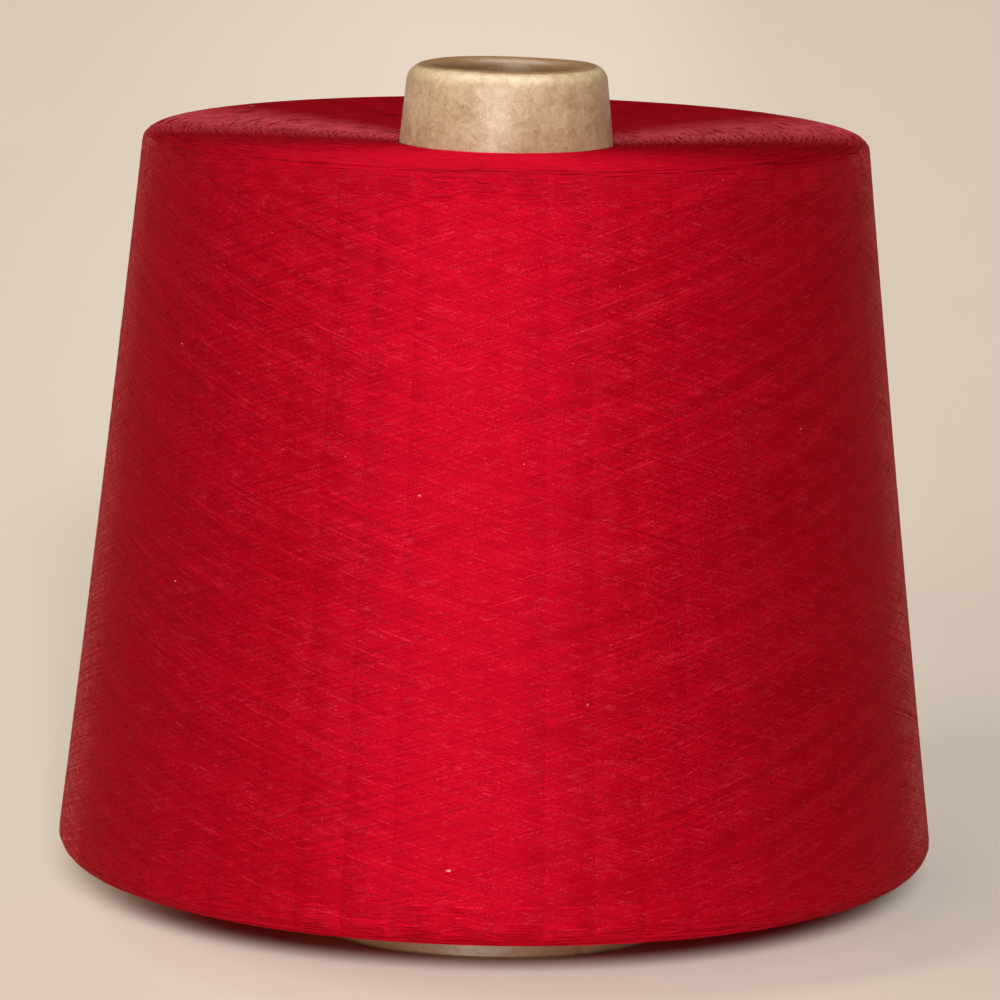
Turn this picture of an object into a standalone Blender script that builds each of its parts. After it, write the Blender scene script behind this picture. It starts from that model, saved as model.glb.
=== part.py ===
"""A cone of thread: a tapered paper core with thread wound crosswise on it.

Metres, +Z up. The origin is the centre of the core's foot, on the surface that the cone stands on.
The core and the wound thread are turned about +Z, one solid each.
"""

import math

import bmesh
import bpy

# The paper core
CORE_LENGTH = 0.170
CORE_FOOT_RADIUS = 0.037
CORE_TAPER = math.radians(5.95)  # half angle of the core, 5 degrees 57 minutes
CORE_WALL = 0.003
NOSE_OUTER_ROUND = 0.0034
NOSE_INNER_ROUND = 0.002
NOSE_BORE_RADIUS = 0.01415
NOSE_LIP_DEPTH = 0.006  # how far down the turned-in lip keeps the bore narrow
NOSE_LIP_BLEND = 0.005  # height over which the bore then widens to the plain wall
FOOT_CHAMFER = 0.0005

# The wound thread
WOUND_LOW = 0.0135  # height of its lower edge over the surface
WOUND_HIGH = 0.1568  # height of its upper rim
WOUND_LOW_RADIUS = 0.08675  # radius of the slant carried down to the lower edge
WOUND_HIGH_RADIUS = 0.0706  # radius of the slant carried up to the rim
WOUND_HOLLOW = 0.00035  # how far the slant is hollow at half height
SHOULDER_ROUND = 0.003
HEM_ROUND = 0.0045
DISH_DEPTH = 0.002  # how far the top sinks from the rim to the core
DISH_CURVE = 1.6  # above 1 the dish is steeper near the core
UNDERSIDE_DROP = 0.003  # how much lower the underside is at the core than at its edge
FIT_GAP = 0.0003  # clearance between the thread and the core

# The main crossing bands in the wound face
BAND_STARTS = 8
BAND_RISE = 0.150  # height that a band climbs in one turn, 17 degrees at half height
BAND_RELIEF = 0.0003
BAND_SHARPNESS = 2.0
BAND_FADE = 0.012  # the bands die away over this height at both ends

# Fineness
SEGMENTS = 72
SLANT_ROWS = 41
DISH_ROWS = 5
UNDERSIDE_ROWS = 3
ROUND_STEPS = 5
SHARP_ANGLE = math.radians(35)

# Colours, in linear light
PAPER_COLOR = (0.60, 0.41, 0.25, 1.0)
THREAD_COLOR = (0.62, 0.003, 0.022, 1.0)


def clear_scene():
    for old in list(bpy.data.objects):
        bpy.data.objects.remove(old, do_unlink=True)


def surface_material(name, color, roughness):
    """A plain non-metal finish."""
    material = bpy.data.materials.new(name)
    material.use_nodes = True
    shader = material.node_tree.nodes["Principled BSDF"]
    shader.inputs["Base Color"].default_value = color
    shader.inputs["Roughness"].default_value = roughness
    shader.inputs["Metallic"].default_value = 0.0
    return material


def paper_material():
    return surface_material("paperboard", PAPER_COLOR, 0.85)


def thread_material():
    return surface_material("red_thread", THREAD_COLOR, 0.6)


def arc(center, radius, start, end, steps):
    """Points (radius from the axis, height) along an arc, both ends included."""
    points = []
    for step in range(steps + 1):
        angle = start + (end - start) * step / steps
        points.append((center[0] + radius * math.cos(angle), center[1] + radius * math.sin(angle)))
    return points


def core_radius(height):
    """Outer radius of the core at a height."""
    return CORE_FOOT_RADIUS - height * math.tan(CORE_TAPER)


def core_profile():
    """The core's closed section, from the foot up the outside, over the nose and down the bore."""
    foot_bore = CORE_FOOT_RADIUS - CORE_WALL
    outer_center_height = CORE_LENGTH - NOSE_OUTER_ROUND
    outer_center = (
        core_radius(outer_center_height) - NOSE_OUTER_ROUND / math.cos(CORE_TAPER),
        outer_center_height,
    )
    inner_center = (NOSE_BORE_RADIUS + NOSE_INNER_ROUND, CORE_LENGTH - NOSE_INNER_ROUND)
    lip_end = CORE_LENGTH - NOSE_LIP_DEPTH
    blend_end = lip_end - NOSE_LIP_BLEND
    outside = [
        (CORE_FOOT_RADIUS - FOOT_CHAMFER, 0.0),
        (core_radius(FOOT_CHAMFER), FOOT_CHAMFER),
    ]
    nose = arc(outer_center, NOSE_OUTER_ROUND, CORE_TAPER, math.pi / 2, ROUND_STEPS)
    lip = arc(inner_center, NOSE_INNER_ROUND, math.pi / 2, math.pi, ROUND_STEPS)
    bore = [
        (NOSE_BORE_RADIUS, lip_end),
        (core_radius(blend_end) - CORE_WALL, blend_end),
        (foot_bore, FOOT_CHAMFER),
        (foot_bore + FOOT_CHAMFER, 0.0),
    ]
    return outside + nose + lip + bore


def wound_radius(height):
    """Radius of the wound slant at a height, with its slight hollow."""
    share = (height - WOUND_LOW) / (WOUND_HIGH - WOUND_LOW)
    straight = WOUND_LOW_RADIUS + (WOUND_HIGH_RADIUS - WOUND_LOW_RADIUS) * share
    return straight - 4 * WOUND_HOLLOW * share * (1 - share)


def wound_taper():
    return math.atan2(WOUND_LOW_RADIUS - WOUND_HIGH_RADIUS, WOUND_HIGH - WOUND_LOW)


def bore_radius(height):
    """Radius of the hole in the thread, clear of the core."""
    return core_radius(height) + FIT_GAP


def shoulder_arc():
    """The rounding from the slant to the dished top."""
    height = WOUND_HIGH - SHOULDER_ROUND
    center = (wound_radius(height) - SHOULDER_ROUND / math.cos(wound_taper()), height)
    return arc(center, SHOULDER_ROUND, wound_taper(), math.pi / 2, ROUND_STEPS)


def hem_arc():
    """The rounding from the underside to the slant."""
    height = WOUND_LOW + HEM_ROUND
    center = (wound_radius(height) - HEM_ROUND / math.cos(wound_taper()), height)
    return arc(center, HEM_ROUND, -math.pi / 2, wound_taper(), ROUND_STEPS)


def slant_points(low, high):
    """Points between the two roundings, both left out."""
    points = []
    for row in range(1, SLANT_ROWS):
        height = low + (high - low) * row / SLANT_ROWS
        points.append((wound_radius(height), height))
    return points


def dish_points(rim):
    """The top, sinking from the rim to the core."""
    inner_height = WOUND_HIGH - DISH_DEPTH
    inner_radius = bore_radius(inner_height)
    points = []
    for row in range(1, DISH_ROWS + 1):
        share = row / DISH_ROWS
        radius = rim[0] + (inner_radius - rim[0]) * share
        points.append((radius, WOUND_HIGH - DISH_DEPTH * share**DISH_CURVE))
    return points


def underside_points(edge):
    """The underside, rising from the core to the lower edge."""
    inner_height = WOUND_LOW - UNDERSIDE_DROP
    inner_radius = bore_radius(inner_height)
    points = []
    for row in range(UNDERSIDE_ROWS):
        share = row / UNDERSIDE_ROWS
        radius = inner_radius + (edge[0] - inner_radius) * share
        points.append((radius, inner_height + UNDERSIDE_DROP * share))
    return points


def wound_profile():
    """The wound thread's closed section, from the core's side under and up over the outside."""
    hem = hem_arc()
    shoulder = shoulder_arc()
    slant = slant_points(hem[-1][1], shoulder[0][1])
    return underside_points(hem[0]) + hem + slant + shoulder + dish_points(shoulder[-1])


def band_height(angle, height, lean):
    """How proud a band of one lean is at a place on the face, from 0 to 1."""
    phase = BAND_STARTS * (angle - lean * 2 * math.pi * height / BAND_RISE)
    return ((1 + math.cos(phase)) / 2) ** BAND_SHARPNESS


def band_relief(radius, angle, height):
    """How far a point of the wound face lies under the crests of the crossing bands."""
    if radius < wound_radius(height) - BAND_RELIEF:
        return 0.0
    ends = min(height - WOUND_LOW, WOUND_HIGH - height)
    fade = min(max(ends / BAND_FADE, 0.0), 1.0)
    crest = max(band_height(angle, height, 1), band_height(angle, height, -1))
    return BAND_RELIEF * fade * (1 - crest)


def no_relief(radius, angle, height):
    return 0.0


def turned_solid(name, profile, relief, material):
    """A closed solid turned about +Z from a closed section that doesn't touch the axis."""
    shape = bmesh.new()
    rings = []
    for radius, height in profile:
        ring = []
        for segment in range(SEGMENTS):
            angle = 2 * math.pi * segment / SEGMENTS
            reach = radius - relief(radius, angle, height)
            ring.append(shape.verts.new((reach * math.cos(angle), reach * math.sin(angle), height)))
        rings.append(ring)
    for index, ring in enumerate(rings):
        after = rings[(index + 1) % len(rings)]
        for segment in range(SEGMENTS):
            beside = (segment + 1) % SEGMENTS
            shape.faces.new((ring[segment], ring[beside], after[beside], after[segment]))
    bmesh.ops.recalc_face_normals(shape, faces=shape.faces)
    mesh = bpy.data.meshes.new(name)
    shape.to_mesh(mesh)
    shape.free()
    mesh.shade_smooth()
    mesh.set_sharp_from_angle(angle=SHARP_ANGLE)
    mesh.materials.append(material)
    solid = bpy.data.objects.new(name, mesh)
    bpy.context.collection.objects.link(solid)
    return solid


def make_core():
    return turned_solid("core", core_profile(), no_relief, paper_material())


def make_winding():
    return turned_solid("winding", wound_profile(), band_relief, thread_material())


def main():
    clear_scene()
    make_core()
    make_winding()


main()
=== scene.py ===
"""Dresses a cone of thread: a tapered paper core with red thread wound crosswise on it.

Metres, +Z up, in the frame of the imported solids. The sizes repeat those that the solids are made from.
"""

import math

import bmesh
import bpy
from mathutils import Matrix, Vector


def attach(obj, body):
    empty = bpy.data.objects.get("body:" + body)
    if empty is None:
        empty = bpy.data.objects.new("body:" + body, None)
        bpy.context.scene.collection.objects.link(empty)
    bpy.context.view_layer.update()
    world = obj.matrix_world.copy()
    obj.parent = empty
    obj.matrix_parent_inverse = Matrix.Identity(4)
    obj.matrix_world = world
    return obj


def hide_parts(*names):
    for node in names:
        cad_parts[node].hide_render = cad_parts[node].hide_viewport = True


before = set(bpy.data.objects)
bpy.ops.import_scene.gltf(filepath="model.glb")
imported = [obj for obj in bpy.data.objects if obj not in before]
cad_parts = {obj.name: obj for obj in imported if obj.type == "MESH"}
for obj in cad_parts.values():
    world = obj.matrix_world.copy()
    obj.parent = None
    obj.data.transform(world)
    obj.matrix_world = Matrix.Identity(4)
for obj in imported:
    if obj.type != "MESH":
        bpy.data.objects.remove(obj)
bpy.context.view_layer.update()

bl_info = {
    "name": "Cone of thread",
    "version": (1, 0, 0),
    "blender": (4, 5, 0),
    "location": "3D View > Sidebar > Thread cone",
    "description": "Makes a paper cone wound crosswise with thread, and a table-top studio for it",
    "category": "Object",
}

BODY = "root"
TURN = 2 * math.pi
MILLIMETRE = 0.001

# The core's ends
FOOT_EDGE = 0.6 * MILLIMETRE  # chamfer of the foot
NOSE_INNER_ROUND = 2 * MILLIMETRE
LIP_DEPTH = 6 * MILLIMETRE  # how far down the turned-in lip keeps the bore narrow
BORE_TOP = 11 * MILLIMETRE  # how far down the bore has widened to the plain wall
UNEVEN_DEPTH = 8 * MILLIMETRE  # how far down the rolled nose is uneven
SPLIT_PLACE = math.radians(27)  # how far the split in the foot is to the right of the front
SPLIT_WIDTH = 0.0012
SPLIT_HEIGHT = 0.009

# The thread
THREAD_SIDES = 3
THREAD_SECTION = (0.28, 1.1, 1.0)  # flattens its three-sided section, with the ridge outwards
TWIST_LENGTH = 0.82 * MILLIMETRE  # along the thread, from one bead of the plies to the next
LAYERS = 3  # pieces that the crosswise thread is wound in
LAYERS_DEPTH = 0.06 * MILLIMETRE  # how far the first turn lies under the last
PACKED_DEPTH = 0.16 * MILLIMETRE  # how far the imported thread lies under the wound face
TURN_BACK_MARGIN = 1.0 * MILLIMETRE  # from the ends of the winding to where its strokes turn back
END_OVERLAP = 3.0 * MILLIMETRE  # how far the thread of the end faces reaches on to the slant
LOOP_LEAN = 1.0  # slope that the loops of thread on the end faces lean outwards by
TURN_LEAN = 1.6  # the same for the crosswise turns, where they bend over the roundings
DOWN_SHEEN_LEAN = 0.35  # slope that the loose fibres on the end faces are taken to lean outwards by, to place their painted sheen
SLANT_SHARE = 0.9  # share of its own tilt that the slant keeps under such a lean

# Rings and steps of the turned pieces
CORE_SEGMENTS = 160
CORE_ROWS = 60
BODY_SEGMENTS = 144
BODY_ROWS = 70
ROUND_STEPS = 8
LIP_STEPS = 6
FACE_ROWS = 24
SHARP_ANGLE = math.radians(40)

# The stage
LAMP_COLOR = (1.0, 0.965, 0.93)
FLOOR_LAMP_COLOR = (1.0, 1.0, 1.0)
FLOOR_SIDE_COLOR = (1.0, 0.88, 0.76)
AIR_COLOR = (1.0, 0.74, 0.52, 1.0)
FLOOR_DARKER = 0.80  # share of the floor's colour that is left where painted shade darkens it towards its sides
CAMERA_PLACE = (0.0, -1.2115, 0.2838)
CAMERA_PITCH = math.radians(9.370)  # how far it looks down
CAMERA_ROLL = math.radians(1.0)
CAMERA_LENS = 224.6
CAMERA_SENSOR = 36.0
CAMERA_REACH = 40.0  # how far it sees


# Settings


class CoreSettings(bpy.types.PropertyGroup):
    """Sizes and colours of the paper core."""

    length: bpy.props.FloatProperty(
        name="Length", description="Height of the core on its foot", default=0.170, unit="LENGTH"
    )
    foot_radius: bpy.props.FloatProperty(
        name="Foot radius", description="Outer radius at the foot", default=0.037, unit="LENGTH"
    )
    taper: bpy.props.FloatProperty(
        name="Taper", description="Half angle of the cone", default=math.radians(5.95), subtype="ANGLE"
    )
    wall: bpy.props.FloatProperty(
        name="Wall", description="Thickness of the paper wall", default=0.003, unit="LENGTH"
    )
    nose_round: bpy.props.FloatProperty(
        name="Nose rounding", description="Outer rounding of the rolled nose", default=0.0034, unit="LENGTH"
    )
    nose_bore: bpy.props.FloatProperty(
        name="Nose bore", description="Radius of the hole in the nose", default=0.01415, unit="LENGTH"
    )
    light_paper: bpy.props.FloatVectorProperty(
        name="Light paper", description="Colour of the pale pulp", default=(0.65, 0.525, 0.33), size=3,
        subtype="COLOR",
    )
    dark_paper: bpy.props.FloatVectorProperty(
        name="Dark paper", description="Colour of the darker pulp", default=(0.43, 0.31, 0.155), size=3,
        subtype="COLOR",
    )
    # Painted shade: the paper is darkened to this colour in the bore and at the foot
    shaded_paper: bpy.props.FloatVectorProperty(
        name="Bore paper", description="Colour of the rough paper in the bore", default=(0.20, 0.085, 0.025),
        size=3, subtype="COLOR",
    )
    speck: bpy.props.FloatVectorProperty(
        name="Speck", description="Colour of the dark bits in the pulp", default=(0.22, 0.12, 0.055), size=3,
        subtype="COLOR",
    )


class WindingSettings(bpy.types.PropertyGroup):
    """Sizes and colours of the wound thread."""

    low: bpy.props.FloatProperty(
        name="Lower edge", description="Height of the lower edge", default=0.0135, unit="LENGTH"
    )
    high: bpy.props.FloatProperty(
        name="Upper rim", description="Height of the upper rim", default=0.1568, unit="LENGTH"
    )
    low_radius: bpy.props.FloatProperty(
        name="Lower radius", description="Radius of the slant at the lower edge", default=0.08675,
        unit="LENGTH",
    )
    high_radius: bpy.props.FloatProperty(
        name="Upper radius", description="Radius of the slant at the upper rim", default=0.0706,
        unit="LENGTH",
    )
    hollow: bpy.props.FloatProperty(
        name="Hollow", description="How far the slant is hollow at half height", default=0.00035,
        unit="LENGTH",
    )
    shoulder: bpy.props.FloatProperty(
        name="Shoulder", description="Rounding from the slant to the top", default=0.003, unit="LENGTH"
    )
    hem: bpy.props.FloatProperty(
        name="Hem", description="Rounding from the slant to the underside", default=0.0045, unit="LENGTH"
    )
    dish: bpy.props.FloatProperty(
        name="Dish", description="How far the top sinks to the core", default=0.002, unit="LENGTH"
    )
    dish_curve: bpy.props.FloatProperty(
        name="Dish curve", description="Above 1 the dish is steeper near the core", default=1.6
    )
    underside_drop: bpy.props.FloatProperty(
        name="Underside drop", description="How far the underside hangs at the core", default=0.003,
        unit="LENGTH",
    )
    clearance: bpy.props.FloatProperty(
        name="Clearance", description="Space between the thread and the core", default=0.0003,
        unit="LENGTH",
    )
    thread: bpy.props.FloatProperty(
        name="Thread", description="Thickness of the thread", default=0.00046, unit="LENGTH"
    )
    stroke_turns: bpy.props.FloatProperty(
        name="Turns in a stroke", description="Turns from one end of the winding to the other",
        default=0.940983,
    )
    turns: bpy.props.IntProperty(
        name="Turns in a layer", description="Turns of thread in each layer piece", default=500
    )
    # Light and dark thread bound the thread's random tone, and also carry painted light and shade: the
    # lighter lower half, and the lit crowns and shaded hollows of the packed thread
    light_thread: bpy.props.FloatVectorProperty(
        name="Light thread", description="Colour of the thread on its crown", default=(0.435, 0.0, 0.010),
        size=3, subtype="COLOR",
    )
    dark_thread: bpy.props.FloatVectorProperty(
        name="Dark thread", description="Colour of the thread in its hollows", default=(0.29, 0.0, 0.004),
        size=3, subtype="COLOR",
    )
    # Painted shade: the thread is darkened to this colour where it is seen end on
    end_on_shade: bpy.props.FloatVectorProperty(
        name="Deep thread", description="Colour of the thread seen end on", default=(0.2, 0.0, 0.005),
        size=3, subtype="COLOR",
    )
    # Painted highlight: this colour goes on the crowns of the plies where they face the viewer
    painted_glint: bpy.props.FloatVectorProperty(
        name="Frost", description="Colour where the twist catches the light", default=(0.70, 0.048, 0.10),
        size=3, subtype="COLOR",
    )
    # Painted sheen: the loose fibres seen end on are paled to this colour
    down: bpy.props.FloatVectorProperty(
        name="Down", description="Colour of the loose fibres, seen end on", default=(0.72, 0.085, 0.12),
        size=3, subtype="COLOR",
    )
    lint: bpy.props.FloatVectorProperty(
        name="Lint", description="Colour of the few bits of lint on the thread", default=(0.80, 0.45, 0.40),
        size=3, subtype="COLOR",
    )


class StageSettings(bpy.types.PropertyGroup):
    """The floor, the light and the camera."""

    floor_size: bpy.props.FloatProperty(
        name="Floor", description="Side of the floor", default=16.0, unit="LENGTH"
    )
    floor_color: bpy.props.FloatVectorProperty(
        name="Floor colour", description="Colour of the floor", default=(0.285, 0.248, 0.212), size=3,
        subtype="COLOR",
    )
    front_power: bpy.props.FloatProperty(
        name="Front light", description="Power of the light from the front, in watts", default=11.6
    )
    fill_power: bpy.props.FloatProperty(
        name="Fill light", description="Power of the light between front and top, in watts", default=1.4
    )
    top_power: bpy.props.FloatProperty(
        name="Top light", description="Power of the light from above, in watts", default=8.9
    )
    back_power: bpy.props.FloatProperty(
        name="Back light", description="Power of the light from behind, in watts", default=1.0
    )
    glow_power: bpy.props.FloatProperty(
        name="Glow", description="Power of the glow on the floor behind the cone, in watts", default=1.6
    )
    floor_light: bpy.props.FloatProperty(
        name="Floor light", description="Strength of the light that only the floor gets", default=8.0
    )
    air_light: bpy.props.FloatProperty(
        name="Air light", description="Strength of the light from all around", default=0.034
    )


# Node trees


class Field:
    """A node's output, which formulas use as they would a number."""

    def __init__(self, tree, socket):
        self.tree = tree
        self.socket = socket

    def math(self, operation, *values):
        made = self.tree.nodes.new("ShaderNodeMath")
        made.operation = operation
        for place, value in enumerate((self,) + values):
            plug(self.tree, made.inputs[place], value)
        return Field(self.tree, made.outputs[0])

    def __add__(self, other):
        return self.math("ADD", other)

    def __sub__(self, other):
        return self.math("SUBTRACT", other)

    def __rsub__(self, other):
        return self * -1 + other

    def __mul__(self, other):
        return self.math("MULTIPLY", other)

    def __truediv__(self, other):
        return self.math("DIVIDE", other)

    __radd__ = __add__
    __rmul__ = __mul__


def plug(tree, socket, value):
    """Links a field to a socket, or writes a plain value into it."""
    if isinstance(value, Field):
        tree.links.new(value.socket, socket)
    else:
        socket.default_value = value


def socket_of(sockets, label):
    """The socket in use under a name, or at a place."""
    if isinstance(label, int):
        return sockets[label]
    return next(socket for socket in sockets if socket.name == label and socket.enabled)


def add(tree, kind, inputs, output=0, **settings):
    """Adds a node, sets it, fills its inputs and returns one of its outputs."""
    made = tree.nodes.new(kind)
    for label, value in settings.items():
        setattr(made, label, value)
    for label, value in inputs.items():
        plug(tree, socket_of(made.inputs, label), value)
    return Field(tree, socket_of(made.outputs, output))


def start_tree(name, inputs):
    """A Geometry Nodes tree with named inputs. Returns it with its inputs as fields."""
    tree = bpy.data.node_groups.new(name, "GeometryNodeTree")
    tree.is_modifier = True
    tree.interface.new_socket(name="Geometry", in_out="OUTPUT", socket_type="NodeSocketGeometry")
    for label, kind in inputs.items():
        tree.interface.new_socket(name=label, in_out="INPUT", socket_type=kind)
    entry = tree.nodes.new("NodeGroupInput")
    return tree, {label: Field(tree, entry.outputs[label]) for label in inputs}


def end_tree(tree, geometry, material):
    """Ends a tree with real geometry in its own material."""
    real = add(tree, "GeometryNodeRealizeInstances", {"Geometry": geometry})
    finished = add(tree, "GeometryNodeSetMaterial", {"Geometry": real, "Material": material})
    plug(tree, tree.nodes.new("NodeGroupOutput").inputs[0], finished)


def grow_piece(name, tree, values):
    """Runs a tree and keeps what it makes as a plain mesh."""
    piece = bpy.data.objects.new(name, bpy.data.meshes.new(name))
    bpy.context.scene.collection.objects.link(piece)
    modifier = piece.modifiers.new(name, "NODES")
    modifier.node_group = tree
    for entry in tree.interface.items_tree:
        if entry.in_out == "INPUT":
            modifier[entry.identifier] = values[entry.name]
    depsgraph = bpy.context.evaluated_depsgraph_get()
    mesh = bpy.data.meshes.new_from_object(
        piece.evaluated_get(depsgraph), preserve_all_data_layers=True, depsgraph=depsgraph
    )
    piece.modifiers.clear()
    piece.data = mesh
    mesh.name = name
    if not mesh.polygons:
        raise RuntimeError(f"the tree of {name} made nothing")
    return piece


# Materials


def start_material(name):
    """A new non-metal material. Returns it with its node tree and its shader."""
    material = bpy.data.materials.new(name)
    material.use_nodes = True
    tree = material.node_tree
    shader = tree.nodes["Principled BSDF"]
    shader.inputs["Metallic"].default_value = 0.0
    return material, tree, shader


def mix_color(tree, share, low, high):
    """From the low colour at share 0 to the high one at 1."""
    return add(
        tree, "ShaderNodeMix", {"Factor": share, "A": low, "B": high}, output="Result",
        data_type="RGBA", clamp_factor=True,
    )


def rgba(color):
    """A colour with full opacity."""
    return (color[0], color[1], color[2], 1.0)


def spread(tree, value, low, high):
    """Maps low..high of a field to 0..1, clamped."""
    return add(
        tree, "ShaderNodeMapRange",
        {"Value": value, "From Min": low, "From Max": high, "To Min": 0.0, "To Max": 1.0},
    )


def noise(tree, place, scale, detail=2.0, roughness=0.5):
    """A cloudy field about 0.5."""
    return add(
        tree, "ShaderNodeTexNoise",
        {"Vector": place, "Scale": scale, "Detail": detail, "Roughness": roughness},
    )


def object_place(tree):
    """Where a point is in the piece, in metres."""
    return add(tree, "ShaderNodeTexCoord", {}, output="Object")


def parts_of(tree, vector):
    """The three parts of a vector field."""
    split = tree.nodes.new("ShaderNodeSeparateXYZ")
    plug(tree, split.inputs[0], vector)
    return [Field(tree, socket) for socket in split.outputs]


def level_part(tree, vector):
    """A vector field without its height."""
    return add(tree, "ShaderNodeVectorMath", {0: vector, 1: (1.0, 1.0, 0.0)}, operation="MULTIPLY")


def bump(tree, height, distance, strength=1.0, under=None):
    """Shading for a height field. The normal under it may be another bump."""
    inputs = {"Height": height, "Distance": distance, "Strength": strength}
    if under is not None:
        inputs["Normal"] = under
    return add(tree, "ShaderNodeBump", inputs, output="Normal")


def lean_out(tree, place, slope, under, winding):
    """Tilts the shading outwards from the axis, as the thread leans at the ends of the winding."""
    level = level_part(tree, place)
    distance = add(tree, "ShaderNodeVectorMath", {0: level}, output="Value", operation="LENGTH")
    along_slant = parts_of(tree, place)[2] * (math.tan(slant_angle(winding)) * SLANT_SHARE)
    return bump(tree, (distance + along_slant) * -slope, 1.0, under=under)


def edge_on(tree, place, slope):
    """How nearly the top is seen edge on, with its surface taken to lean outwards by a slope."""
    out = add(tree, "ShaderNodeVectorMath", {0: level_part(tree, place)}, operation="NORMALIZE")
    x, y, _ = parts_of(tree, out)
    leaning = add(tree, "ShaderNodeCombineXYZ", {"X": x * slope, "Y": y * slope, "Z": 1.0})
    leaning = add(tree, "ShaderNodeVectorMath", {0: leaning}, operation="NORMALIZE")
    return add(tree, "ShaderNodeLayerWeight", {"Blend": 0.5, "Normal": leaning}, output="Facing")


def stroke_rise(winding):
    """Height that the thread climbs in one turn."""
    return (winding.high - winding.low) / winding.stroke_turns


def bands(tree, place, rise):
    """Wide soft streaks that follow the two ways in which the thread crosses.

    One way shows on the right half and the other on the left half, which is a painted highlight of the way
    that catches the light on each side.
    """
    ring_radius = 9.0  # the larger it is, the more streaks there are round the cone
    height_rate = 60.0
    apart = 30.0  # keeps the two ways from being alike
    crossing = 0.035  # half the width over which one way gives place to the other
    x, y, z = parts_of(tree, place)
    turned = y.math("ARCTAN2", x) / TURN
    streaks = []
    for lean in (-1, 1):
        phase = (z / rise + turned * lean) * TURN
        ring = add(tree, "ShaderNodeCombineXYZ", {
            "X": phase.math("COSINE") * ring_radius,
            "Y": phase.math("SINE") * ring_radius,
            "Z": z * height_rate + lean * apart,
        })
        streaks.append(noise(tree, ring, 1.0, detail=2.5, roughness=0.6))
    # Painted highlight: the share picks the streaks of one way on the right and of the other on the left
    share = spread(tree, x, -crossing, crossing)
    return streaks[0] * share + streaks[1] * (1 - share)


def set_thread_finish(shader):
    """The soft, dull shine of spun thread, tinted by its own colour."""
    shader.inputs["IOR"].default_value = 2.3
    shader.inputs["Specular IOR Level"].default_value = 1.0
    shader.inputs["Specular Tint"].default_value = (1.0, 0.01, 0.045, 1.0)


def thread_attribute(tree, name, output="Fac"):
    """What the thread's own tree stored on it."""
    return add(tree, "ShaderNodeAttribute", {}, output=output, attribute_name=name)


def thread_material(name, bare, on_end_face, winding):
    """Spun thread: each turn has its own shade, and its plies show as beads along it.

    bare is the share of it that is free of down.
    """
    material, tree, shader = start_material(name)
    place = object_place(tree)
    shade = thread_attribute(tree, "shade")
    along = thread_attribute(tree, "along")
    around = thread_attribute(tree, "around")
    run = thread_attribute(tree, "run", "Vector")
    cloud = noise(tree, place, 38.0)
    fleck = noise(tree, place, 1500.0, detail=1.0)

    # What changes along each turn, with the turn's shade to keep the turns from being alike
    strand = add(tree, "ShaderNodeCombineXYZ", {"X": along * 380.0, "Y": shade * 977.0})
    dash = noise(tree, strand, 1.0, detail=1.0)
    stretch = noise(tree, strand, 0.4, detail=0.0)
    twist = along / TWIST_LENGTH + around + shade * 57.0 + dash * 4.0
    ply = (twist * TURN).math("SINE") * 0.5 + 0.5
    squeezed = add(tree, "ShaderNodeVectorMath", {0: place, 1: (1.0, 1.0, 2.5)}, operation="MULTIPLY")
    patch = noise(tree, squeezed, 260.0, detail=2.0)

    # The main colour, with painted light that makes the lower half a little lighter
    streaks = bands(tree, place, stroke_rise(winding))
    z = parts_of(tree, place)[2]
    lower_half_light = spread(tree, z, 0.075, 0.03)
    tone = shade * 0.18 + cloud * 0.07 + streaks * 0.55 + dash * 0.2
    tone = spread(tree, tone, 0.435, 0.565) + lower_half_light * 0.28
    color = mix_color(tree, tone, rgba(winding.dark_thread), rgba(winding.light_thread))

    # Painted highlight: a paler colour on the crowns of the plies, where they are seen face on
    facing = add(tree, "ShaderNodeLayerWeight", {"Blend": 0.35}, output="Facing")
    front = (1 - facing).math("POWER", 1.5)
    beads = spread(tree, ply, 0.4, 1.0) * spread(tree, stretch + streaks * 0.4, 0.80, 0.90)
    painted_glint = (beads * 0.7 + spread(tree, dash * 0.7 + patch * 0.5, 0.70, 0.84) * 0.6) * front

    # Seen end on, a thread gets painted shade, a deeper colour, and its loose fibres stand up as pale down,
    # a painted sheen where they catch the light
    end_on = 1 - add(tree, "ShaderNodeLayerWeight", {"Blend": 0.5, "Normal": run}, output="Facing")
    tufts = spread(tree, dash * 0.6 + patch * 0.4, bare - 0.07, bare + 0.07)
    if on_end_face:
        slope = LOOP_LEAN
        upper_end = spread(tree, z, 0.07, 0.09)
        hanging = edge_on(tree, place, DOWN_SHEEN_LEAN) * 0.86 + end_on * 0.14
        down = spread(tree, hanging, 0.86, 0.965) * tufts * upper_end
    else:
        slope = TURN_LEAN
        down = spread(tree, end_on, 0.935, 0.98) * tufts
    # Painted shade where the thread is seen end on
    color = mix_color(tree, spread(tree, end_on, 0.35, 0.95) * 0.45, color, rgba(winding.end_on_shade))
    with_painted_glint = mix_color(tree, painted_glint, color, rgba(winding.painted_glint))
    # Painted sheen on the down
    with_down_sheen = mix_color(tree, down, with_painted_glint, rgba(winding.down))
    lint = spread(tree, noise(tree, place, 800.0, detail=0.0), 0.905, 0.93)
    plug(tree, shader.inputs["Base Color"], mix_color(tree, lint, with_down_sheen, rgba(winding.lint)))

    plug(tree, shader.inputs["Roughness"], fleck * 0.15 + 0.38)
    plies = bump(tree, ply, 0.04 * MILLIMETRE, 0.6)
    fibres = bump(tree, fleck, 0.03 * MILLIMETRE, 0.5, under=plies)
    plug(tree, shader.inputs["Normal"], lean_out(tree, place, slope, fibres, winding))
    set_thread_finish(shader)
    return material


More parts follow.
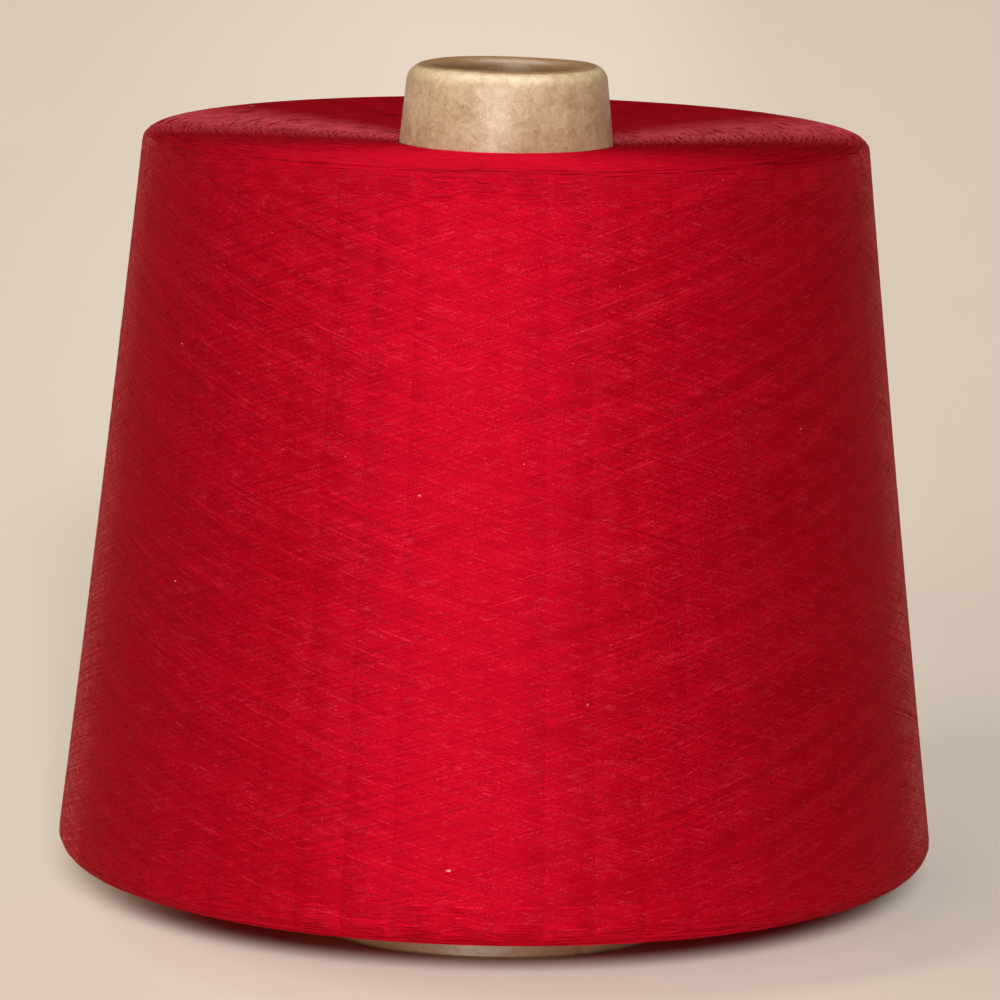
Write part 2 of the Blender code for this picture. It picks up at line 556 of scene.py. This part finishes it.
def packed_thread_material(winding):
    """The thread that lies under the outer turns, drawn as two sets of crossing lines."""
    material, tree, shader = start_material("red_thread_packed")
    place = object_place(tree)
    x, y, z = parts_of(tree, place)
    turned = y.math("ARCTAN2", x) / TURN
    rise = stroke_rise(winding)
    starts = round(rise / winding.thread)
    wander = noise(tree, place, 60.0) * 1.5
    sets = []
    for lean in (1, -1):
        phase = (z * (1 / rise) + turned * lean) * starts + wander
        sets.append((phase * TURN).math("SINE") * 0.5 + 0.5)
    lines = sets[0].math("MAXIMUM", sets[1])
    cloud = noise(tree, place, 45.0)
    # Painted shade: the colour is darker between the lines, in the grooves between the turns
    tone = lines * 0.5 + cloud * 0.4
    color = mix_color(tree, tone, rgba(winding.dark_thread), rgba(winding.light_thread))
    plug(tree, shader.inputs["Base Color"], color)
    plug(tree, shader.inputs["Roughness"], cloud * 0.2 + 0.5)
    grooves = bump(tree, lines, 0.1 * MILLIMETRE, 0.6)
    plug(tree, shader.inputs["Normal"], lean_out(tree, place, LOOP_LEAN, grooves, winding))
    set_thread_finish(shader)
    return material


def paper_material(core):
    """Coarse grey-brown board: cloudy pulp, short fibres and small dark specks."""
    material, tree, shader = start_material("paperboard")
    place = object_place(tree)
    cloud = noise(tree, place, 120.0, detail=5.0, roughness=0.65)
    swirl = add(tree, "ShaderNodeTexNoise", {"Vector": place, "Scale": 240.0, "Detail": 1.0}, output="Color")
    shift = (4 * MILLIMETRE, 4 * MILLIMETRE, 4 * MILLIMETRE)
    bend = add(tree, "ShaderNodeVectorMath", {0: swirl, 1: shift}, operation="MULTIPLY")
    bent = add(tree, "ShaderNodeVectorMath", {0: place, 1: bend}, operation="ADD")
    fibre = noise(tree, bent, 560.0, detail=4.0, roughness=0.7)
    grain = noise(tree, place, 2400.0, detail=2.0)
    rough_specks = noise(tree, place, 1250.0, detail=3.0, roughness=0.7)
    specks = spread(tree, rough_specks + cloud * 0.25, 0.48, 0.42)
    tone = spread(tree, cloud * 0.35 + fibre * 0.5 + grain * 0.15, 0.40, 0.60)
    pulp = mix_color(tree, tone, rgba(core.dark_paper), rgba(core.light_paper))
    speckled = mix_color(tree, specks * 0.8, pulp, rgba(core.speck))

    # Painted shade: the bore is darker
    x, y, z = parts_of(tree, place)
    middle = core.foot_radius - core.wall * 0.7
    reach = (x * x + y * y).math("SQRT") + z * math.tan(core.taper)
    inside = spread(tree, reach, middle + 0.8 * MILLIMETRE, middle)
    color = mix_color(tree, inside * 0.8, speckled, rgba(core.shaded_paper))

    # Painted shade makes the foot darker under the winding, and the foot has one small split
    foot_shade = mix_color(tree, spread(tree, z, 0.012, 0.002) * 0.7, color, rgba(core.shaded_paper))
    across = (x * math.cos(SPLIT_PLACE) + y * math.sin(SPLIT_PLACE)).math("ABSOLUTE")
    wedge = across + z * (SPLIT_WIDTH / SPLIT_HEIGHT) + spread(tree, y, -0.01, 0.0)
    split = spread(tree, wedge, SPLIT_WIDTH, SPLIT_WIDTH * 0.6)
    color = mix_color(tree, split * 0.9, foot_shade, rgba(core.speck))
    plug(tree, shader.inputs["Base Color"], color)
    plug(tree, shader.inputs["Roughness"], grain * 0.15 + 0.30)
    coarse = bump(tree, fibre, 0.25 * MILLIMETRE, 0.5)
    plug(tree, shader.inputs["Normal"], bump(tree, grain, 0.06 * MILLIMETRE, 0.5, under=coarse))
    shader.inputs["Specular IOR Level"].default_value = 0.9
    return material


def floor_material(stage):
    """A plain matt floor, very slightly uneven, with painted shade that makes it a little darker towards its
    sides.
    """
    material, tree, shader = start_material("floor")
    place = object_place(tree)
    cloud = noise(tree, place, 3.0, detail=3.0)
    tooth = noise(tree, place, 900.0)
    x = parts_of(tree, place)[0]
    # Painted shade: darker towards both sides of the floor, sooner on the right
    shade = spread(tree, x, 0.06, 0.13) * 0.6 + spread(tree, x, -0.05, -0.20) * 0.5
    base = rgba(stage.floor_color)
    darker = rgba([part * FLOOR_DARKER for part in base[:3]])
    plug(tree, shader.inputs["Base Color"], mix_color(tree, shade + cloud * 0.1, base, darker))
    plug(tree, shader.inputs["Roughness"], tooth * 0.1 + 0.8)
    shader.inputs["Specular IOR Level"].default_value = 0.1
    return material


# Turned pieces


def arc(center, radius, start, end, steps):
    """Points (radius from the axis, height) along an arc, both ends included."""
    points = []
    for step in range(steps + 1):
        angle = start + (end - start) * step / steps
        points.append((center[0] + radius * math.cos(angle), center[1] + radius * math.sin(angle)))
    return points


def between(start, end, steps):
    """Points from start to end on a straight line, both left out."""
    points = []
    for step in range(1, steps):
        share = step / steps
        points.append(tuple(a + (b - a) * share for a, b in zip(start, end)))
    return points


def turned_piece(name, profile, segments, material, shift=None):
    """A closed piece turned about +Z from a closed section. shift moves a point a little out and up."""
    shape = bmesh.new()
    rings = []
    for radius, height in profile:
        ring = []
        for segment in range(segments):
            angle = TURN * segment / segments
            out, rise = shift(angle, height) if shift else (0.0, 0.0)
            reach = out + radius
            ring.append(shape.verts.new((reach * math.cos(angle), reach * math.sin(angle), height + rise)))
        rings.append(ring)
    for index, ring in enumerate(rings):
        after = rings[(index + 1) % len(rings)]
        for segment in range(segments):
            beside = (segment + 1) % segments
            shape.faces.new((ring[segment], ring[beside], after[beside], after[segment]))
    bmesh.ops.recalc_face_normals(shape, faces=shape.faces)
    mesh = bpy.data.meshes.new(name)
    shape.to_mesh(mesh)
    shape.free()
    mesh.shade_smooth()
    mesh.set_sharp_from_angle(angle=SHARP_ANGLE)
    mesh.materials.append(material)
    piece = bpy.data.objects.new(name, mesh)
    bpy.context.scene.collection.objects.link(piece)
    return piece


def core_radius(core, height):
    """Outer radius of the core at a height."""
    return core.foot_radius - height * math.tan(core.taper)


def core_profile(core):
    """The core's closed section, from the foot up the outside, over the nose and down the bore."""
    nose_center = core.length - core.nose_round
    outer = arc(
        (core_radius(core, nose_center) - core.nose_round / math.cos(core.taper), nose_center),
        core.nose_round, core.taper, math.pi / 2, ROUND_STEPS,
    )
    inner = arc(
        (core.nose_bore + NOSE_INNER_ROUND, core.length - NOSE_INNER_ROUND),
        NOSE_INNER_ROUND, math.pi / 2, math.pi, ROUND_STEPS,
    )
    lip_end = (core.nose_bore, core.length - LIP_DEPTH)
    bore_top_height = core.length - BORE_TOP
    bore_top = (core_radius(core, bore_top_height) - core.wall, bore_top_height)
    foot_bore = core.foot_radius - core.wall
    foot_out = (core_radius(core, FOOT_EDGE), FOOT_EDGE)
    foot_in = (foot_bore, FOOT_EDGE)
    return (
        [(core.foot_radius - FOOT_EDGE, 0.0), foot_out]
        + between(foot_out, outer[0], CORE_ROWS)
        + outer + inner
        + between(inner[-1], lip_end, 3)
        + [lip_end]
        + between(lip_end, bore_top, LIP_STEPS)
        + [bore_top]
        + between(bore_top, foot_in, CORE_ROWS // 2)
        + [foot_in, (foot_bore + FOOT_EDGE, 0.0)]
    )


def uneven_nose(core, angle, height):
    """How far a point of the core lies in or out and up. Rolled board isn't quite round at its nose."""
    near_nose = max(0.0, 1 - (core.length - height) / UNEVEN_DEPTH)
    out = 0.08 * math.sin(2 * angle + 0.7) + 0.05 * math.sin(5 * angle + height * 300)
    rise = 0.10 * math.sin(3 * angle + 1.2) - 0.10
    return out * MILLIMETRE * near_nose, rise * MILLIMETRE * near_nose


def slant_radius(winding, height):
    """Radius of the wound slant at a height, with its slight hollow."""
    share = (height - winding.low) / (winding.high - winding.low)
    straight = winding.low_radius + (winding.high_radius - winding.low_radius) * share
    return straight - 4 * winding.hollow * share * (1 - share)


def slant_angle(winding):
    """Half angle of the wound cone."""
    return math.atan2(winding.low_radius - winding.high_radius, winding.high - winding.low)


def dish_height(winding, share):
    """Height of the top at a share of the way from the rim to the core."""
    return winding.high - winding.dish * share**winding.dish_curve


def body_profile(winding, core, sink):
    """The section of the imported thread, a little inside the outer turns."""
    lean = slant_angle(winding)
    hem_center = winding.low + winding.hem
    hem = arc(
        (slant_radius(winding, hem_center) - winding.hem / math.cos(lean), hem_center),
        winding.hem - sink, -math.pi / 2, lean, ROUND_STEPS,
    )
    shoulder_center = winding.high - winding.shoulder
    shoulder = arc(
        (slant_radius(winding, shoulder_center) - winding.shoulder / math.cos(lean), shoulder_center),
        winding.shoulder - sink, lean, math.pi / 2, ROUND_STEPS,
    )
    slant = []
    for row in range(1, BODY_ROWS):
        height = hem[-1][1] + (shoulder[0][1] - hem[-1][1]) * row / BODY_ROWS
        slant.append((slant_radius(winding, height) - sink / math.cos(lean), height))
    dish = []
    inner = core_radius(core, winding.high - winding.dish) + winding.clearance
    for row in range(1, FACE_ROWS + 1):
        share = row / FACE_ROWS
        radius = shoulder[-1][0] + (inner - shoulder[-1][0]) * share
        dish.append((radius, dish_height(winding, share) - sink))
    inner_height = winding.low - winding.underside_drop + sink
    inner = core_radius(core, inner_height) + winding.clearance
    under = [(inner, inner_height)] + between((inner, inner_height), hem[0], FACE_ROWS)
    return under + hem + slant + shoulder + dish


# Thread trees


def lay_thread(tree, path, thickness, ridge):
    """Thread laid along a path: a closed tube of three sides with one ridge turned outwards.

    around is stored as 0 on the ridge and a third of a turn either way on the other corners.
    """
    corner = add(tree, "GeometryNodeInputIndex", {})
    around = corner / THREAD_SIDES - corner.math("GREATER_THAN", THREAD_SIDES / 2)
    ring = add(
        tree, "GeometryNodeCurvePrimitiveCircle", {"Resolution": THREAD_SIDES, "Radius": thickness / 2},
        mode="RADIUS",
    )
    ring = store(tree, ring, "around", around)
    ring = add(tree, "GeometryNodeTransform", {"Geometry": ring, "Scale": THREAD_SECTION})
    path = store(tree, path, "run", add(tree, "GeometryNodeInputTangent", {}), "FLOAT_VECTOR")
    path = add(tree, "GeometryNodeSetCurveNormal", {"Curve": path}, mode="Z_UP")
    path = add(tree, "GeometryNodeSetCurveTilt", {"Curve": path, "Tilt": ridge})
    tube = add(tree, "GeometryNodeCurveToMesh", {"Curve": path, "Profile Curve": ring, "Fill Caps": True})
    return add(tree, "GeometryNodeSetShadeSmooth", {"Geometry": tube, "Shade Smooth": True})


def store(tree, geometry, name, value, kind="FLOAT"):
    """Keeps a field on the geometry for the material to read."""
    return add(
        tree, "GeometryNodeStoreNamedAttribute", {"Geometry": geometry, "Name": name, "Value": value},
        data_type=kind, domain="POINT",
    )


def long_path(tree, count):
    """A path of many points, to be put in place by a field."""
    line = add(tree, "GeometryNodeCurvePrimitiveLine", {})
    return add(tree, "GeometryNodeResampleCurve", {"Curve": line, "Count": count}, mode="COUNT")


def wobble(tree, turn, rate):
    """A smooth random field along the thread, from -1 to 1."""
    wave = add(
        tree, "ShaderNodeTexNoise", {"W": turn, "Scale": rate, "Detail": 1.0}, noise_dimensions="1D",
    )
    return (wave - 0.5) * 2.0


def chance(tree, number, seed, low=0.0, high=1.0):
    """A random value, the same one for the same number and seed."""
    return add(
        tree, "FunctionNodeRandomValue", {"Min": low, "Max": high, "ID": number, "Seed": seed},
        output="Value", data_type="FLOAT",
    )


def set_in_place(tree, path, radius, angle, height):
    """Puts each point of a path at its radius and angle about +Z and at its height."""
    place = add(
        tree, "ShaderNodeCombineXYZ",
        {"X": radius * angle.math("COSINE"), "Y": radius * angle.math("SINE"), "Z": height},
    )
    return add(tree, "GeometryNodeSetPosition", {"Geometry": path, "Position": place})


def crosswise_tree(winding):
    """One thread wound up and down the cone, each stroke leaning the other way."""
    tree, given = start_tree("crosswise thread", {
        "Turns": "NodeSocketInt",
        "Points in a turn": "NodeSocketInt",
        "First turn": "NodeSocketFloat",
        "Depth at start": "NodeSocketFloat",
        "Depth at end": "NodeSocketFloat",
        "Turns in a stroke": "NodeSocketFloat",
        "Thread": "NodeSocketFloat",
        "End scatter": "NodeSocketFloat",
        "Wander": "NodeSocketFloat",
        "Seed": "NodeSocketInt",
        "Material": "NodeSocketMaterial",
    })
    count = given["Turns"] * given["Points in a turn"]
    index = add(tree, "GeometryNodeInputIndex", {})
    turn = index / given["Points in a turn"] + given["First turn"]
    stroke = turn / given["Turns in a stroke"]

    # The stroke swings between the ends and turns back in a short curve
    sharpness = 0.995
    swing = ((stroke - 0.5) * math.pi).math("SINE") * sharpness
    swing = swing.math("ARCSINE") / math.asin(sharpness)
    end_number = (stroke + 0.5).math("FLOOR")
    half = (winding.high - winding.low) / 2 - TURN_BACK_MARGIN
    reach = half - chance(tree, end_number, given["Seed"]) * given["End scatter"]
    height = swing * reach + wobble(tree, turn, 3.1) * given["Wander"] + (winding.high + winding.low) / 2

    # The slant, hollow at half height and rounded at both ends, where the ridge tilts with it
    lean = slant_angle(winding)
    share = (height - winding.low) / (winding.high - winding.low)
    radius = share * (winding.high_radius - winding.low_radius) + winding.low_radius
    radius = radius - share * (1 - share) * (4 * winding.hollow)
    ridge = 0.0
    nearly_all = 0.99  # keeps a stray point from leaving its rounding
    for limit, rounding, way in (
        (winding.high - winding.shoulder * (1 - math.sin(lean)), winding.shoulder, 1),
        (winding.low + winding.hem * (1 + math.sin(lean)), winding.hem, -1),
    ):
        over = ((height - limit) * way).math("MAXIMUM", 0.0).math("MINIMUM", rounding * nearly_all)
        radius = radius - (rounding - (rounding**2 - over * over).math("SQRT"))
        ridge = ridge - (over / rounding).math("ARCSINE") * way
    share_laid = index / count
    depth = given["Depth at start"] + (given["Depth at end"] - given["Depth at start"]) * share_laid
    dip = wobble(tree, turn, 5.3) * 0.03 + chance(tree, index, given["Seed"] + 2, -0.02, 0.02)
    radius = radius - depth + dip * MILLIMETRE

    path = set_in_place(tree, long_path(tree, count), radius, turn * TURN, height)
    path = store(tree, path, "shade", chance(tree, stroke.math("FLOOR"), given["Seed"] + 1))
    path = store(tree, path, "along", turn * (TURN * winding.low_radius))
    end_tree(tree, lay_thread(tree, path, given["Thread"], ridge), given["Material"])
    return tree


def face_tree():
    """One thread that lies round and round on an end of the winding, over its edge and on to the slant.

    Way is 1 on the top and -1 on the underside.
    """
    tree, given = start_tree("end face thread", {
        "Turns": "NodeSocketInt",
        "Points in a turn": "NodeSocketInt",
        "Inner radius": "NodeSocketFloat",
        "Flat width": "NodeSocketFloat",
        "Edge rounding": "NodeSocketFloat",
        "Edge angle": "NodeSocketFloat",
        "Slant overlap": "NodeSocketFloat",
        "Slant lean": "NodeSocketFloat",
        "Edge height": "NodeSocketFloat",
        "Way": "NodeSocketFloat",
        "Sag": "NodeSocketFloat",
        "Sag curve": "NodeSocketFloat",
        "Wave": "NodeSocketFloat",
        "Waves in a turn": "NodeSocketFloat",
        "Lift": "NodeSocketFloat",
        "Sink": "NodeSocketFloat",
        "Thread": "NodeSocketFloat",
        "Seed": "NodeSocketInt",
        "Material": "NodeSocketMaterial",
    })
    count = given["Turns"] * given["Points in a turn"]
    index = add(tree, "GeometryNodeInputIndex", {})
    turn = index / given["Points in a turn"]
    number = turn.math("FLOOR")

    # How far out along the section each point lies
    round_length = given["Edge rounding"] * given["Edge angle"]
    reach = given["Flat width"] + round_length + given["Slant overlap"]
    wave = (turn * given["Waves in a turn"] * TURN).math("SINE") + wobble(tree, turn, 4.7) * 1.2
    along = reach * (index / count) + wave * given["Wave"]
    along = along.math("MAXIMUM", 0.0).math("MINIMUM", reach)

    # The section: the sagging flat, the rounded edge, the slant
    flat = along.math("MINIMUM", given["Flat width"])
    bend = ((along - flat) / given["Edge rounding"]).math("MINIMUM", given["Edge angle"])
    down = (along - flat - round_length).math("MAXIMUM", 0.0)
    share = 1 - flat / given["Flat width"]
    sag = share.math("POWER", given["Sag curve"]) * given["Sag"]
    lift = wobble(tree, turn + 900.0, 9.0) * given["Lift"]
    lift = lift + chance(tree, index, given["Seed"] + 5, -0.4, 0.4) * given["Lift"]
    lift = lift + chance(tree, number, given["Seed"] + 6, -0.7, 0.7) * given["Lift"]
    rounding = given["Edge rounding"] + lift - given["Sink"]
    lean = given["Slant lean"]
    radius = given["Inner radius"] + flat + rounding * bend.math("SINE")
    radius = radius + down * lean.math("SINE") * given["Way"]
    fall = given["Edge rounding"] - rounding * bend.math("COSINE") + down * lean.math("COSINE")
    height = given["Edge height"] - (sag + fall - lift * (1 - bend.math("SINE"))) * given["Way"]

    path = set_in_place(tree, long_path(tree, count), radius, turn * TURN, height)
    path = store(tree, path, "shade", chance(tree, number, given["Seed"]))
    path = store(tree, path, "along", turn * TURN * radius)
    ridge = (bend - math.pi / 2) * given["Way"]
    end_tree(tree, lay_thread(tree, path, given["Thread"], ridge), given["Material"])
    return tree


# Operators


def settings_of(context):
    """The settings of the core, the winding and the stage."""
    scene = context.scene
    return scene.cone_core, scene.cone_winding, scene.cone_stage


class CONE_OT_core(bpy.types.Operator):
    """Turn the paper core that the thread is wound on"""

    bl_idname = "cone.core"
    bl_label = "Paper core"

    def execute(self, context):
        core, _, _ = settings_of(context)
        piece = turned_piece(
            "paper_core", core_profile(core), CORE_SEGMENTS, paper_material(core),
            lambda angle, height: uneven_nose(core, angle, height),
        )
        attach(piece, BODY)
        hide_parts("core")
        return {"FINISHED"}


class CONE_OT_packed_thread(bpy.types.Operator):
    """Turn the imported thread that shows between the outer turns"""

    bl_idname = "cone.packed_thread"
    bl_label = "Packed thread"

    def execute(self, context):
        core, winding, _ = settings_of(context)
        piece = turned_piece(
            "packed_thread", body_profile(winding, core, PACKED_DEPTH), BODY_SEGMENTS,
            packed_thread_material(winding),
        )
        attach(piece, BODY)
        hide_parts("winding")
        return {"FINISHED"}


class CONE_OT_crosswise_thread(bpy.types.Operator):
    """Wind the outer layers of thread crosswise up and down the cone"""

    bl_idname = "cone.crosswise_thread"
    bl_label = "Crosswise thread"

    def execute(self, context):
        _, winding, _ = settings_of(context)
        tree = crosswise_tree(winding)
        thread = thread_material("red_thread", 0.50, False, winding)
        for layer in range(LAYERS):
            piece = grow_piece(f"crosswise_thread_{layer + 1}", tree, {
                "Turns": winding.turns,
                "Points in a turn": 56,
                "First turn": float(winding.turns * layer),
                "Depth at start": LAYERS_DEPTH * (1 - layer / LAYERS),
                "Depth at end": LAYERS_DEPTH * (1 - (layer + 1) / LAYERS),
                "Turns in a stroke": winding.stroke_turns,
                "Thread": winding.thread,
                "End scatter": 2.2 * MILLIMETRE,
                "Wander": 0.7 * MILLIMETRE,
                "Seed": 11,
                "Material": thread,
            })
            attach(piece, BODY)
        return {"FINISHED"}


class CONE_OT_face_thread(bpy.types.Operator):
    """Lay the thread that shows on the top and on the underside"""

    bl_idname = "cone.face_thread"
    bl_label = "End face thread"

    def execute(self, context):
        core, winding, _ = settings_of(context)
        tree = face_tree()
        thread = thread_material("red_thread_ends", 0.42, True, winding)
        lean = slant_angle(winding)
        top = {
            "Way": 1.0, "Turns": 330, "Points in a turn": 96, "Edge height": winding.high,
            "Edge rounding": winding.shoulder, "Sag": winding.dish, "Sag curve": winding.dish_curve,
            "Wave": 0.9 * MILLIMETRE, "Waves in a turn": 5.37,
        }
        underside = {
            "Way": -1.0, "Turns": 200, "Points in a turn": 80, "Edge height": winding.low,
            "Edge rounding": winding.hem, "Sag": winding.underside_drop, "Sag curve": 1.0,
            "Wave": 1.2 * MILLIMETRE, "Waves in a turn": 6.29,
        }
        for name, face in (("top_thread", top), ("underside_thread", underside)):
            way, height, rounding = face["Way"], face["Edge height"], face["Edge rounding"]
            inner = core_radius(core, height - way * face["Sag"]) + winding.clearance + winding.thread / 2
            center = slant_radius(winding, height - way * rounding) - rounding / math.cos(lean)
            piece = grow_piece(name, tree, face | {
                "Inner radius": inner,
                "Flat width": center - inner,
                "Edge angle": math.pi / 2 - lean * way,
                "Slant overlap": END_OVERLAP,
                "Slant lean": lean,
                "Lift": 0.02 * MILLIMETRE,
                "Sink": 0.07 * MILLIMETRE,
                "Thread": winding.thread,
                "Seed": 21,
                "Material": thread,
            })
            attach(piece, BODY)
        return {"FINISHED"}


def new_light(name, kind, power, color):
    """A light and its data, still to be shaped and placed."""
    data = bpy.data.lights.new(name, kind)
    data.energy = power
    data.color = color
    light = bpy.data.objects.new(name, data)
    bpy.context.scene.collection.objects.link(light)
    return light, data


def area_light(name, place, target, width, height, power, color):
    """A soft rectangular light that isn't seen itself."""
    light, data = new_light(name, "AREA", power, color)
    data.shape = "RECTANGLE"
    data.size = width
    data.size_y = height
    way = Vector(target) - Vector(place)
    light.rotation_euler = way.to_track_quat("-Z", "Y").to_euler()
    light.location = place
    light.visible_camera = False
    return light


def sun_light(name, strength, elevation, azimuth, softness, color):
    """An even light from a direction given in degrees. Azimuth 0 comes from the front."""
    light, data = new_light(name, "SUN", strength, color)
    data.angle = math.radians(softness)
    light.rotation_euler = (math.radians(90 - elevation), 0.0, math.radians(azimuth))
    return light


def light_group(name, member, state):
    """What a light reaches: only the member, or all but the member."""
    group = bpy.data.collections.new(name)
    group.objects.link(member)
    group.collection_objects[0].light_linking.link_state = state
    return group


def studio_camera():
    """A long lens, a little above the cone, with a slight roll."""
    forward = Vector((0.0, math.cos(CAMERA_PITCH), -math.sin(CAMERA_PITCH)))
    level = Vector((1.0, 0.0, 0.0))
    upright = level.cross(forward)
    right = level * math.cos(CAMERA_ROLL) + upright * math.sin(CAMERA_ROLL)
    up = right.cross(forward)
    data = bpy.data.cameras.new("camera")
    data.sensor_width = CAMERA_SENSOR
    data.lens = CAMERA_LENS
    data.clip_end = CAMERA_REACH
    camera = bpy.data.objects.new("camera", data)
    bpy.context.scene.collection.objects.link(camera)
    turn = Matrix((right, up, -forward)).transposed()
    camera.matrix_world = Matrix.Translation(CAMERA_PLACE) @ turn.to_4x4()
    bpy.context.scene.camera = camera


class CONE_OT_stage(bpy.types.Operator):
    """Set the floor, the lights and the camera"""

    bl_idname = "cone.stage"
    bl_label = "Stage"

    def execute(self, context):
        _, _, stage = settings_of(context)
        half = stage.floor_size / 2
        mesh = bpy.data.meshes.new("floor")
        corners = [(-half, -half, 0.0), (half, -half, 0.0), (half, half, 0.0), (-half, half, 0.0)]
        mesh.from_pydata(corners, [], [(0, 1, 2, 3)])
        mesh.materials.append(floor_material(stage))
        floor = bpy.data.objects.new("floor", mesh)
        context.scene.collection.objects.link(floor)

        all_but_floor = light_group("all_but_floor", floor, "EXCLUDE")
        for name, place, target, width, height, power in (
            ("front_light", (-0.32, -1.55, 0.32), (0.0, 0.0, 0.08), 0.78, 0.62, stage.front_power),
            ("fill_light", (-0.15, -0.95, 0.80), (0.0, 0.0, 0.12), 0.90, 0.35, stage.fill_power),
            ("top_light", (-0.07, -0.20, 0.84), (0.0, 0.0, 0.15), 1.20, 0.64, stage.top_power),
            ("back_light", (0.0, 1.8, 0.55), (0.0, 0.0, 0.12), 4.00, 1.00, stage.back_power),
        ):
            light = area_light(name, place, target, width, height, power, LAMP_COLOR)
            light.light_linking.receiver_collection = all_but_floor

        # The floor has lights of its own, so that the cone's stay soft
        lit_floor = light_group("lit_floor", floor, "INCLUDE")
        for name, share, elevation, azimuth, softness, color in (
            ("floor_front_light_1", 0.23, 18.5, -2, 6, FLOOR_LAMP_COLOR),
            ("floor_front_light_2", 0.23, 18.5, 1, 6, FLOOR_LAMP_COLOR),
            ("floor_front_light_3", 0.23, 18.5, 5, 6, FLOOR_LAMP_COLOR),
            ("floor_side_light_1", 0.08, 22, -13, 12, FLOOR_SIDE_COLOR),
            ("floor_side_light_2", 0.15, 33, -43, 20, FLOOR_SIDE_COLOR),
            ("floor_side_light_3", 0.08, 60, -90, 30, FLOOR_SIDE_COLOR),
        ):
            strength = stage.floor_light * share / math.sin(math.radians(elevation))
            light = sun_light(name, strength, elevation, azimuth, softness, color)
            light.light_linking.receiver_collection = lit_floor
        glow = area_light(
            "floor_glow", (-0.02, 1.5, 0.4), (-0.02, 1.5, 0.0), 0.2, 2.2, stage.glow_power,
            FLOOR_LAMP_COLOR,
        )
        glow.light_linking.receiver_collection = lit_floor

        world = bpy.data.worlds.new("studio")
        world.use_nodes = True
        air = world.node_tree.nodes["Background"]
        air.inputs["Color"].default_value = AIR_COLOR
        air.inputs["Strength"].default_value = stage.air_light
        context.scene.world = world
        context.scene.view_settings.view_transform = "Standard"
        studio_camera()
        return {"FINISHED"}


class CONE_PT_panel(bpy.types.Panel):
    """Lists the pieces of the cone of thread"""

    bl_idname = "CONE_PT_panel"
    bl_label = "Cone of thread"
    bl_space_type = "VIEW_3D"
    bl_region_type = "UI"
    bl_category = "Thread cone"

    def draw(self, context):
        for operator in OPERATORS:
            self.layout.operator(operator.bl_idname)
        for settings in settings_of(context):
            box = self.layout.box()
            for label in settings.__annotations__:
                box.prop(settings, label)


OPERATORS = (
    CONE_OT_core,
    CONE_OT_packed_thread,
    CONE_OT_crosswise_thread,
    CONE_OT_face_thread,
    CONE_OT_stage,
)
CLASSES = (CoreSettings, WindingSettings, StageSettings) + OPERATORS + (CONE_PT_panel,)


def register():
    for kind in CLASSES:
        bpy.utils.register_class(kind)
    bpy.types.Scene.cone_core = bpy.props.PointerProperty(type=CoreSettings)
    bpy.types.Scene.cone_winding = bpy.props.PointerProperty(type=WindingSettings)
    bpy.types.Scene.cone_stage = bpy.props.PointerProperty(type=StageSettings)


def unregister():
    del bpy.types.Scene.cone_stage
    del bpy.types.Scene.cone_winding
    del bpy.types.Scene.cone_core
    for kind in reversed(CLASSES):
        bpy.utils.unregister_class(kind)


def main():
    """Makes the stage and every piece."""
    register()
    bpy.ops.cone.stage()
    bpy.ops.cone.core()
    bpy.ops.cone.packed_thread()
    bpy.ops.cone.crosswise_thread()
    bpy.ops.cone.face_thread()


if __name__ == "__main__":
    main()
